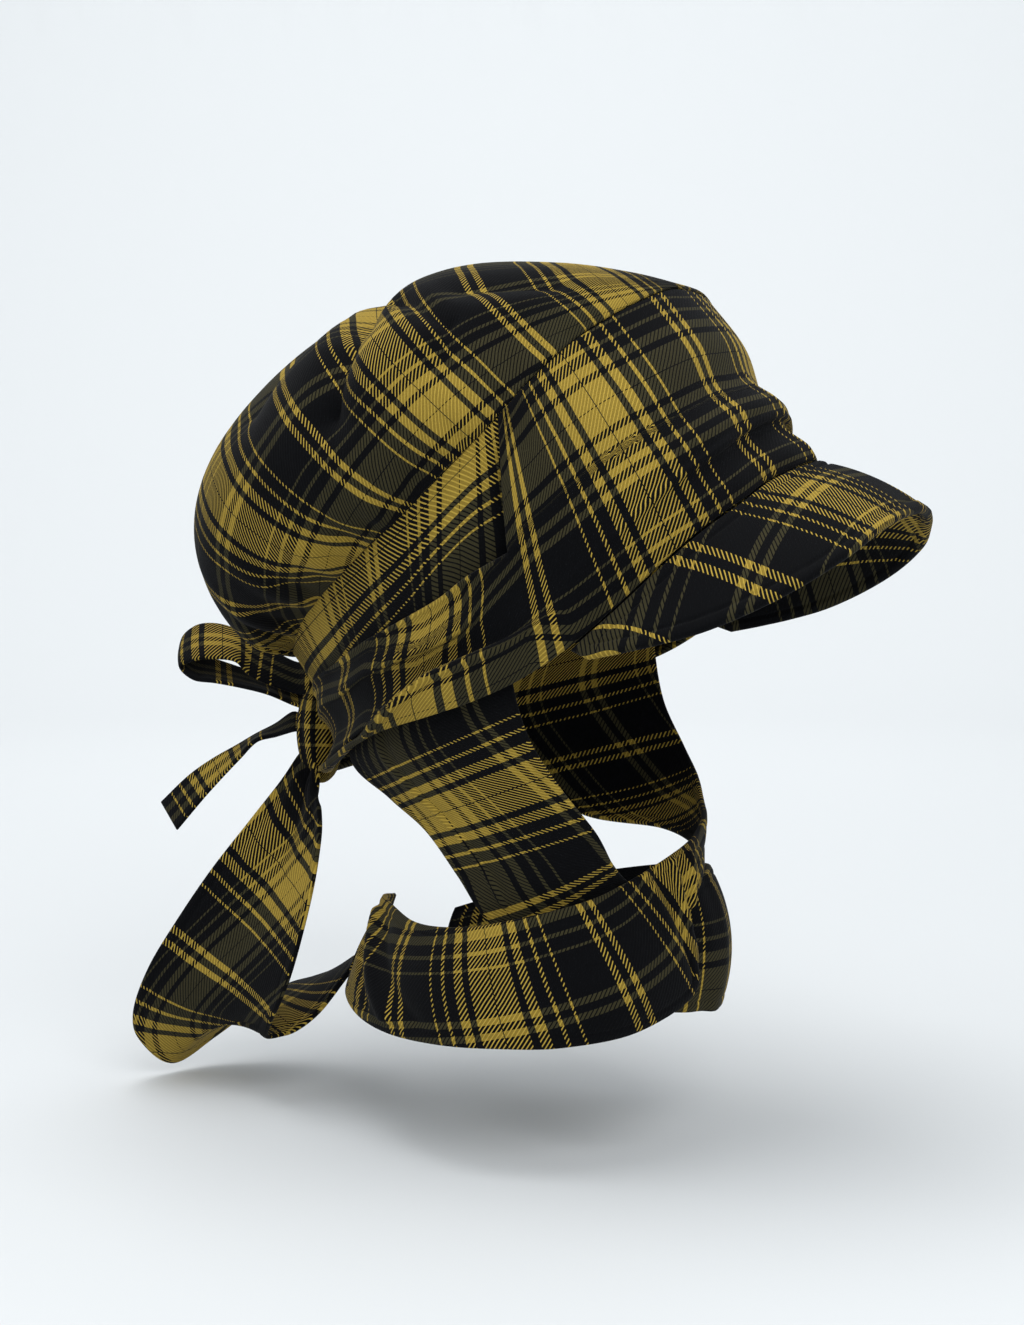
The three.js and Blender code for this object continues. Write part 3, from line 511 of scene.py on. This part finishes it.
def wrap_folds(u, v):
    """How far each point goes out, and how far down. A crease between the panel's rolls and a pit under the
    tie's roll go in by exp(-(d / w)^2) at distance d from their line. The tie's round roll goes out by
    sqrt(1 - s^2) at the share s from its middle, and hangs down over the pleat by that times (1 - s)."""
    front = np.clip(1.6 - u / 0.3, 0, 1)
    crease = 0.0016 * np.exp(-(((v - 0.43 + 0.1 * u) / 0.022) ** 2)) * front
    into_tie = np.clip((u - 0.46) / 0.16, 0, 1)
    share = np.clip(2 * (v - pleat_line(u)) / (TIE_SHARE - pleat_line(u)) - 1, -1, 1)
    round_part = into_tie * np.sqrt(1 - share**2)
    pit = 0.0030 * into_tie * np.exp(-(((v - pleat_line(u) + 0.02) / 0.03) ** 2)) * np.clip(v / 0.08, 0, 1)
    return 0.0068 * round_part - crease - pit, 0.0048 * round_part * (1 - share)


def pleat_line(u):
    """The place across the tie where the roll meets the lower layer. It falls to the edge towards the
    knot."""
    return 0.30 - 0.27 * np.clip((u - 0.66) / 0.12, 0, 1)


PANEL_SHARE = (len(PANEL) - 1) / (len(PANEL) + len(TIE) - 1)
u = np.concatenate([np.linspace(0, PANEL_SHARE - 0.004, 80), PANEL_SHARE + np.array([-0.0022, -0.0006, 0]),
                    np.linspace(PANEL_SHARE + 0.006, 1 - 0.004, 70), 1 - np.array([0.0022, 0.0006, 0])])
v = np.concatenate([[0, 0.002, 0.008], np.linspace(0.016, TIE_SHARE - 0.016, 76),
                    TIE_SHARE - np.array([0.008, 0.002, 0]),
                    np.linspace(TIE_SHARE + 0.012, 1 - 0.016, 24), 1 - np.array([0.008, 0.002, 0])])
grid = wrap_grid(u, v)
out, down = wrap_folds(np.concatenate([u[:0:-1], u])[:, None], v[None])
grid = grid + faces_out(grid) * out[..., None] - unit(np.gradient(grid, axis=1)) * down[..., None]
cell_u = np.abs(np.concatenate([-u[:0:-1], u]))
cell_u = np.maximum(cell_u[:-1], cell_u[1:])
keep = (v[1:] < TIE_SHARE + 1e-9)[None] | (cell_u < PANEL_SHARE + 1e-9)[:, None]
along, over = measured(grid)
middle = along[:, np.searchsorted(v, 0.35)][:, None]
middle = middle - middle[len(u) - 1]
# The cloth hidden in the crease of the panel and in the pleat of the tie leaves a jump in the pattern.
across_u = np.abs(np.concatenate([-u[:0:-1], u]))[:, None]
weft_line = 0.030 + 0.0105 * np.clip((across_u - 0.25) / 0.25, 0, 1)
tucked = 0.0215 * np.clip((over - weft_line - 0.0075) / 0.0015, 0, 1)
below_pleat = np.clip((pleat_line(across_u) - v[None]) / 0.01, 0, 1)
under = 0.010 * np.clip((across_u - 0.46) / 0.06, 0, 1) * below_pleat
reach = np.abs(middle)
place = -np.sign(middle) * (reach * 0.886 - 0.076 * np.clip(reach - 0.136, 0, None))
flat = np.stack(np.broadcast_arrays(place, over + tucked - under - weft_line), axis=-1)
wrap = cloth_piece("front_panel", grid, cut_from_cloth(flat, 0, (0.1207, 0.0)), CLOTH, keep=keep)
wrap.data.materials.append(twill)
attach(wrap, "root")
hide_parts("front_wrap")

# Peak
# A stiffened front peak covered in the twill, its warp running forward. It is sewn under the foot of the
# panel and bends down at both sides, with a stitched hem along its outer edge.
# Columns: x, y, z of the outer edge, from the middle to the side
PEAK_EDGE = np.array([
    (0, -1.39, 0.203), (-0.262, -1.371, 0.186), (-0.5, -1.333, 0.147), (-0.69, -1.276, 0.088),
    (-0.833, -1.162, 0.013), (-0.917, -1.019, -0.058), (-0.976, -0.857, -0.12), (-1.012, -0.705, -0.159),
    (-1.024, -0.571, -0.186), (-1, -0.457, -0.207),
])
PEAK_WALL = 0.003
PEAK_ARCH = 0.036
PEAK_HEM = 0.005


def peak_grid(u, v):
    """From the outer edge (v 0) to under the panel's foot (v 1): a straight line between them, lifted in
    its middle as a shallow barrel, 4 v (1 - v) times 1 - u^2, that fades towards the sides."""
    foot = smooth(PANEL[:8, 1:4] * CAP_SIZE - [0, 0, PEAK_WALL / 2 + SEAM_GAP], u)
    rim = smooth(PEAK_EDGE * CAP_SIZE, u)
    lift = stand_out(v, PEAK_ARCH * (1 - u**2))
    half = rim[:, None] + (foot - rim)[:, None] * v[:, None] + lift[..., None] * np.array([0, 0, 1.0])
    return np.concatenate([half[:0:-1] * [-1, 1, 1], half])


u = np.concatenate([np.linspace(0, 1 - 0.01, 90), 1 - np.array([0.005, 0.0015, 0])])
v = steps(40, 0.045, PEAK_WALL * RIM, hem=PEAK_HEM)
grid = peak_grid(u, v)
flat = np.stack([-1.2 * grid[..., 0], -grid[..., 1]], axis=-1)
peak = cloth_piece("front_peak", grid, cut_from_cloth(flat, 12, (-0.062, -0.1185)), PEAK_WALL, hem=PEAK_HEM)
peak.data.materials.append(twill)
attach(peak, "root")
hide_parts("peak")

# Ear flaps and straps
# Each flap is sewn inside the band and narrows into a long strap of doubled twill. The right one passes
# under the chin and round the left of the neck, and the left one lies over it and goes round the right.
STRAP_DROP = 0.17
FLAP_TOP_DROP = 0.37 * CROWN_HEIGHT
STRAP_CLOTH = 0.0018
# Columns: first edge x, y, down, second edge x, y, down, swell
STRAP_RIGHT = np.array([
    (-0.917, -0.152, -0.215, -0.492, 0.527, -0.007, -0.077),
    (-0.917, -0.162, -0.078, -0.488, 0.629, 0.191, -0.083),
    (-0.881, -0.21, 0.076, -0.548, 0.448, 0.303, -0.095),
    (-0.833, -0.305, 0.214, -0.643, 0.267, 0.388, -0.071),
    (-0.738, -0.41, 0.353, -0.702, 0.124, 0.51, -0.048), (-0.619, -0.438, 0.457, -0.714, 0, 0.642, -0.048),
    (-0.452, -0.457, 0.53, -0.619, -0.19, 0.779, -0.036),
    (-0.262, -0.505, 0.565, -0.44, -0.4, 0.905, -0.024), (0, -0.571, 0.562, -0.083, -0.638, 0.959, -0.071),
    (0.262, -0.552, 0.547, 0.298, -0.59, 0.964, -0.071),
    (0.476, -0.438, 0.57, 0.524, -0.438, 0.939, -0.048),
    (0.619, -0.267, 0.599, 0.69, -0.229, 0.936, -0.036), (0.643, -0.038, 0.637, 0.714, 0, 0.941, -0.036),
    (0.583, 0.171, 0.68, 0.643, 0.21, 0.952, -0.036), (0.44, 0.343, 0.718, 0.488, 0.4, 0.959, -0.036),
    (0.238, 0.476, 0.75, 0.262, 0.533, 0.969, -0.036),
])
# Columns: first edge x, y, down, second edge x, y, down, swell
STRAP_LEFT = np.array([
    (0.917, -0.152, -0.215, 0.492, 0.527, -0.007, 0.077),
    (0.917, -0.162, -0.078, 0.488, 0.629, 0.191, 0.083), (0.881, -0.21, 0.076, 0.548, 0.448, 0.303, 0.095),
    (0.833, -0.305, 0.214, 0.643, 0.267, 0.388, 0.071), (0.69, -0.4, 0.3, 0.69, 0.057, 0.46, 0.06),
    (0.476, -0.476, 0.359, 0.595, -0.267, 0.471, 0.036),
    (0.238, -0.543, 0.387, 0.321, -0.476, 0.489, 0.024), (0, -0.571, 0.416, 0.024, -0.59, 0.511, 0.012),
    (-0.167, -0.581, 0.43, -0.167, -0.629, 0.558, 0.012),
    (-0.333, -0.562, 0.453, -0.321, -0.61, 0.663, 0.024),
    (-0.548, -0.495, 0.499, -0.333, -0.667, 0.846, 0.036),
    (-0.726, -0.39, 0.549, -0.631, -0.543, 0.937, 0.06),
    (-0.833, -0.21, 0.596, -0.857, -0.333, 0.971, 0.048),
    (-0.857, -0.048, 0.632, -0.94, -0.105, 0.981, 0.048),
    (-0.798, 0.133, 0.658, -0.94, 0.105, 0.988, 0.06), (-0.655, 0.305, 0.672, -0.845, 0.324, 0.992, 0.06),
    (-0.44, 0.467, 0.665, -0.679, 0.514, 0.984, 0.048), (-0.214, 0.6, 0.659, -0.452, 0.667, 0.962, 0.024),
    (0, 0.648, 0.681, -0.19, 0.762, 0.932, -0.024),
])


def strap_places(table):
    """The rows of a strap in metres: two edge points and the swell. Down runs from the flap's top edge (0)
    to the lower edge of the neck wrap (1)."""
    reach = STRAP_DROP - FLAP_TOP_DROP
    scale = np.array([HALF_WIDTH, HALF_LENGTH, -reach])
    shift = np.array([0, 0, -FLAP_TOP_DROP])
    first, second = table[:, :3] * scale + shift, table[:, 3:6] * scale + shift
    return np.concatenate([first, second, table[:, 6:]], axis=1)


def ribbon(rows, u, v):
    """Cloth between two edges: straight across from the first edge (v 0) to the second (v 1), stood out
    along the cross product of its run and its width by the swell."""
    row, ahead, behind = (smooth(rows, np.clip(u + s, 0, 1)) for s in (0, 0.01, -0.01))
    a, b = row[:, :3], row[:, 3:6]
    run = (ahead[:, :3] + ahead[:, 3:6] - behind[:, :3] - behind[:, 3:6]) / 2
    out = unit(np.cross(run, b - a))
    return a[:, None] + (b - a)[:, None] * v[:, None] + out[:, None] * stand_out(v, row[:, 6])[..., None]


def strip_flat(grid):
    """The flat strip: its length along the middle, and its width measured from the middle line."""
    along, over = measured(grid)
    half = grid.shape[1] // 2
    return np.stack(np.broadcast_arrays(along[:, half][:, None], over - over[:, half : half + 1]), axis=-1)


def fold_height(u, v, folds):
    """The height of the folds at each place of a strip: height * exp(-(d / width)^2) at distance d from the
    line between two places. Places are shares of the strip's length and width, a width is a share of the
    strip's width, and the height is in metres."""
    SLENDER = 36  # square of the strip's length over its width
    height = np.zeros(np.broadcast_shapes(u.shape, v.shape))
    for u0, v0, u1, v1, width, high in folds:
        run_u, run_v = u1 - u0, v1 - v0
        reach = run_u**2 * SLENDER + run_v**2
        share = np.clip(((u - u0) * run_u * SLENDER + (v - v0) * run_v) / reach, 0, 1)
        off = np.sqrt((u - u0 - share * run_u) ** 2 * SLENDER + (v - v0 - share * run_v) ** 2)
        height = height + high * np.exp(-((off / width) ** 2))
    return height


def strap_piece(name, node, rows, size, cut, mirror=1, hem=0.0, counts=(220, 60), folds=()):
    """One ribbon of cloth with its folds, from a length and width, and its flat strip cut from the tartan at
    an angle and an offset."""
    wall = STRAP_CLOTH
    u, v = steps(counts[0], size[0], wall * RIM), steps(counts[1], size[1], wall * RIM, hem)
    grid = ribbon(rows, u, v)
    flat = strip_flat(grid) * [1, mirror]
    grid = grid + faces_out(grid) * fold_height(u[:, None], v[None], folds)[..., None]
    piece = cloth_piece(name, grid, cut_from_cloth(flat, *cut), wall, hem=hem)
    piece.data.materials.append(twill)
    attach(piece, "root")
    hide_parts(node)
    return piece


# Columns: start u, start v, end u, end v, width, height in metres
RIGHT_FOLDS = np.array([
    (0.04, 0.74, 0.32, 0.80, 0.014, -0.0010), (0.04, 0.70, 0.30, 0.74, 0.04, 0.0008),
    (0.50, 0.0, 0.53, 1.0, 0.06, 0.0012), (0.56, 0.0, 0.54, 1.0, 0.05, -0.0010),
])
LEFT_FOLDS = np.array([
    (0.46, 0.2, 0.475, 1.0, 0.05, 0.0022), (0.485, 0.1, 0.50, 1.0, 0.045, -0.0020),
    (0.505, 0.1, 0.525, 1.0, 0.045, 0.0024), (0.53, 0.0, 0.55, 0.9, 0.045, -0.0018),
    (0.92, 0.15, 0.84, 0.85, 0.06, 0.0030), (0.95, 0.3, 0.88, 0.85, 0.06, -0.0016),
    (0.88, 0.2, 0.80, 0.85, 0.07, -0.0016), (0.70, 0.0, 0.62, 0.8, 0.2, 0.0010),
])
HEM = 0.004
right = strap_piece("right_flap_strap", "strap_right", strap_places(STRAP_RIGHT), (0.45, 0.07),
                    (0, (-0.106, -0.030)), mirror=-1, hem=HEM, folds=RIGHT_FOLDS)
left = strap_piece("left_flap_strap", "strap_left", strap_places(STRAP_LEFT), (0.55, 0.06),
                   (-7, (-0.2419, 0.0213)), hem=HEM, folds=LEFT_FOLDS)

# Slack loop of the left strap
# The rest of the left strap hangs from the nape in a loop, turns over at the bottom and is led up into the
# knot, where it is gathered.
# Columns: first edge x, y, down, second edge x, y, down, swell
TAIL_LOOP = np.array([
    (0.011, 0.65, 0.682, -0.18, 0.767, 0.931, 0.024), (0.036, 0.695, 0.766, 0.143, 0.848, 0.952, 0),
    (-0.024, 0.782, 0.894, 0.405, 0.93, 0.963, -0.024), (-0.06, 0.842, 0.971, 0.429, 1.046, 1.021, -0.036),
    (-0.119, 0.928, 1.08, 0.44, 1.191, 1.069, -0.048), (-0.167, 1.01, 1.143, 0.429, 1.304, 1.101, -0.06),
    (-0.214, 1.064, 1.16, 0.381, 1.417, 1.157, -0.083),
    (-0.286, 1.085, 1.154, 0.238, 1.577, 1.274, -0.107),
    (-0.381, 1.041, 1.112, 0.024, 1.679, 1.344, -0.107),
    (-0.452, 0.987, 1.056, -0.167, 1.732, 1.239, -0.095),
    (-0.488, 0.935, 0.988, -0.286, 1.701, 1.121, -0.083),
    (-0.488, 0.887, 0.887, -0.357, 1.591, 0.951, -0.071),
    (-0.476, 0.839, 0.739, -0.357, 1.45, 0.772, -0.071),
    (-0.452, 0.806, 0.595, -0.321, 1.311, 0.601, -0.071),
    (-0.405, 0.799, 0.455, -0.262, 1.167, 0.439, -0.06), (-0.31, 0.84, 0.379, -0.143, 1.087, 0.32, -0.036),
    (-0.179, 0.904, 0.342, -0.036, 1.058, 0.244, -0.012),
])
# Columns: start u, start v, end u, end v, width, height in metres
TAIL_FOLDS = np.array([
    (0.78, 0.28, 1.0, 0.25, 0.09, 0.0012), (0.80, 0.5, 1.0, 0.5, 0.08, -0.0012),
    (0.78, 0.74, 1.0, 0.75, 0.09, 0.0012), (0.62, 0.45, 0.78, 0.5, 0.2, -0.0010),
])
# Columns: middle x, y, z, half sizes x, y, z
KNOT = np.array([
    (0, 0.966, -0.524, 0.124, 0.095, 0.172),
])


def into_knot(row):
    """One more row past the end of a strip: its end row moved 0.4 of the way to the middle of the knot."""
    middle = np.concatenate([KNOT[0, :3] * CAP_SIZE] * 2)
    return np.append(row[:6] + (middle - row[:6]) * 0.4, row[6])[None]


tail_rows = strap_places(TAIL_LOOP)
tail_rows = np.concatenate([tail_rows, into_knot(tail_rows[-1])])
tail = strap_piece("slack_loop", "tail_loop", tail_rows, (0.36, 0.06),
                   (30, (-0.1242, -0.033)), hem=HEM, folds=TAIL_FOLDS)

# Bow and loose end of the tie
# The ties are narrow here, folded lengthwise. One makes the loop of the bow, which comes out from under the
# nape band, and the other ends in a slanted cut.
# Columns: first edge x, y, z, second edge x, y, z, swell
BOW_LOOP = np.array([
    (0.06, 1.0, -0.285, -0.06, 0.975, -0.39, 0.012),
    (0.083, 1.112, -0.305, -0.06, 1.054, -0.4, 0.012),
    (0.107, 1.299, -0.239, -0.095, 1.229, -0.348, 0.012),
    (0.107, 1.404, -0.201, -0.107, 1.295, -0.3, 0.012),
    (0.095, 1.486, -0.185, -0.107, 1.391, -0.292, 0.012),
    (0.083, 1.565, -0.193, -0.107, 1.473, -0.298, 0.012),
    (0.071, 1.621, -0.235, -0.095, 1.553, -0.324, 0.012),
    (0.071, 1.584, -0.282, -0.107, 1.488, -0.362, 0.012),
    (0.083, 1.482, -0.304, -0.107, 1.387, -0.369, 0.012),
    (0.083, 1.362, -0.331, -0.107, 1.265, -0.382, 0.012),
    (0.071, 1.234, -0.361, -0.107, 1.144, -0.401, 0.012),
    (0.06, 1.102, -0.38, -0.06, 1.041, -0.441, 0.012),
    (0.05, 1.0, -0.35, -0.06, 0.975, -0.45, 0.012),
])
# Columns: first edge x, y, z, second edge x, y, z, swell
TIE_END = np.array([
    (0.048, 1.106, -0.469, -0.071, 1.054, -0.523, 0), (0.048, 1.188, -0.512, -0.071, 1.135, -0.542, 0),
    (0.036, 1.274, -0.551, -0.095, 1.214, -0.56, 0), (0.012, 1.355, -0.59, -0.095, 1.287, -0.619, 0),
    (0, 1.461, -0.637, -0.071, 1.382, -0.692, 0), (0, 1.574, -0.7, -0.071, 1.47, -0.767, 0),
    (0, 1.703, -0.795, -0.071, 1.593, -0.879, 0),
])


def tie_places(table):
    """The rows of a tie in metres, as shares of the cap's three sizes."""
    return np.concatenate([table[:, :3] * CAP_SIZE, table[:, 3:6] * CAP_SIZE, table[:, 6:]], axis=1)


bow = strap_piece("bow", "bow_loop", tie_places(BOW_LOOP), (0.12, 0.018), (0, (0.0, 0.0)), counts=(90, 16))
loose_rows = tie_places(TIE_END)
loose_rows = np.concatenate([into_knot(loose_rows[0]), loose_rows])
end = strap_piece("loose_end", "tie_end", loose_rows, (0.075, 0.014), (0, (0.0, 0.0)), counts=(60, 14))

# Knot
# Both ties are crossed and pulled tight here over the end of the strap. The cloth gathers into lengthwise
# folds round the knot.


def knot_surface(turns, rises):
    """A lump, longer than it is wide: an ellipsoid pressed in seven times round its length, by
    0.09 * |cos(3.5 angle + 0.6 z)|^3 * (1 - z^2)."""
    knot = KNOT[0]
    angle, tilt = np.meshgrid(turns * 2 * np.pi, (rises - 0.5) * np.pi, indexing="ij")
    x, y, z = np.cos(tilt) * np.cos(angle), np.cos(tilt) * np.sin(angle), np.sin(tilt)
    crease = 1 - 0.09 * np.abs(np.cos(3.5 * angle + 0.6 * z)) ** 3 * (1 - z * z)
    return np.stack([x * crease, y * crease, z], axis=-1) * (knot[3:] * CAP_SIZE) + knot[:3] * CAP_SIZE


turns, rises = np.arange(96) / 96, np.linspace(0, 1, 61)
body = knot_surface(turns, rises[1:-1])
poles = knot_surface(turns[:1], rises[[0, -1]])[0]
count, rings = body.shape[:2]
index = np.arange(count * rings).reshape(count, rings)
following = np.roll(index, -1, axis=0)
sides = np.stack([index[:, :-1], following[:, :-1], following[:, 1:], index[:, 1:]], axis=-1).reshape(-1, 4)
foot = np.stack([following[:, 0], index[:, 0], np.full(count, count * rings)], axis=-1)
top = np.stack([index[:, -1], following[:, -1], np.full(count, count * rings + 1)], axis=-1)
mesh = bpy.data.meshes.new("tie_knot")
faces = sides.tolist() + foot.tolist() + top.tolist()
mesh.from_pydata(np.concatenate([body.reshape(-1, 3), poles]), [], faces)
round_it, up_it = np.meshgrid(turns * 0.07, rises[1:-1] * 0.05, indexing="ij")
place = np.concatenate([np.stack([round_it, up_it], axis=-1).reshape(-1, 2), [[0.03, 0], [0.03, 0.05]]])
loops = np.empty(len(mesh.loops), int)
mesh.loops.foreach_get("vertex_index", loops)
mesh.uv_layers.new(name="cloth").data.foreach_set("uv", place[loops].ravel())
mesh.polygons.foreach_set("use_smooth", np.ones(len(mesh.polygons), bool))
mesh.update()
knot = bpy.data.objects.new("tie_knot", mesh)
bpy.context.scene.collection.objects.link(knot)
knot.data.materials.append(twill)
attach(knot, "root")
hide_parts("knot")

# Floor and light
# A plain pale floor just under the lowest fold of cloth, swept up into a round wall far from the cap, in a
# pale room with three large soft lamps round the cap and one turned to the wall.
FLOOR = cad_box[0][2] - 0.004
SWEEP_START, SWEEP_ROUND = 1.6, 1.5
side = np.linspace(-3.05, 3.05, 123)
x, y = np.meshgrid(side, side, indexing="ij")
climb = np.clip((np.hypot(x, y) - SWEEP_START) / SWEEP_ROUND, 0, 0.995)
sweep = np.stack([x, y, FLOOR + SWEEP_ROUND * (1 - np.sqrt(1 - climb**2))], axis=-1)
index = np.arange(x.size).reshape(x.shape)
tiles = np.stack([index[:-1, :-1], index[1:, :-1], index[1:, 1:], index[:-1, 1:]], axis=-1).reshape(-1, 4)
sheet = bpy.data.meshes.new("floor")
sheet.from_pydata(sweep.reshape(-1, 3), [], tiles)
sheet.polygons.foreach_set("use_smooth", np.ones(len(tiles), bool))
floor = bpy.data.objects.new("floor", sheet)
bpy.context.scene.collection.objects.link(floor)
pale = bpy.data.materials.new("pale floor")
pale.use_nodes = True
pale.node_tree.nodes["Principled BSDF"].inputs["Base Color"].default_value = (0.64, 0.66, 0.67, 1)
pale.node_tree.nodes["Principled BSDF"].inputs["Roughness"].default_value = 0.75
floor.data.materials.append(pale)
world = bpy.data.worlds.new("pale room")
bpy.context.scene.world = world
bpy.context.scene.view_settings.view_transform = "Standard"
world.use_nodes = True
world.node_tree.nodes["Background"].inputs["Color"].default_value = (0.86, 0.89, 0.92, 1)
world.node_tree.nodes["Background"].inputs["Strength"].default_value = 0.8


def lamp(name, place, size, power, target=(0, 0, 0)):
    """A square soft lamp at a place, turned to its target."""
    light = bpy.data.lights.new(name, "AREA")
    light.size = size
    light.energy = power
    back = unit(np.array(place, float) - np.array(target))
    side = unit(np.cross([0, 0, 1.0], back))
    turn = np.eye(4)
    turn[:3, :3] = np.stack([side, np.cross(back, side), back], axis=1)
    turn[:3, 3] = place
    obj = bpy.data.objects.new(name, light)
    obj.matrix_world = Matrix(turn.tolist())
    bpy.context.scene.collection.objects.link(obj)


lamp("window", (-1.3, -1.1, 1.2), 1.2, 20)
lamp("room", (-0.9, 1.4, 0.9), 1.4, 5)
lamp("ceiling", (-0.2, 0.1, 1.8), 1.4, 21)
lamp("wall lamp", -flat_back * 1.3 + [0, 0, 1.7], 1.6, 22, -flat_back * 3.1 + [0, 0, 0.6])
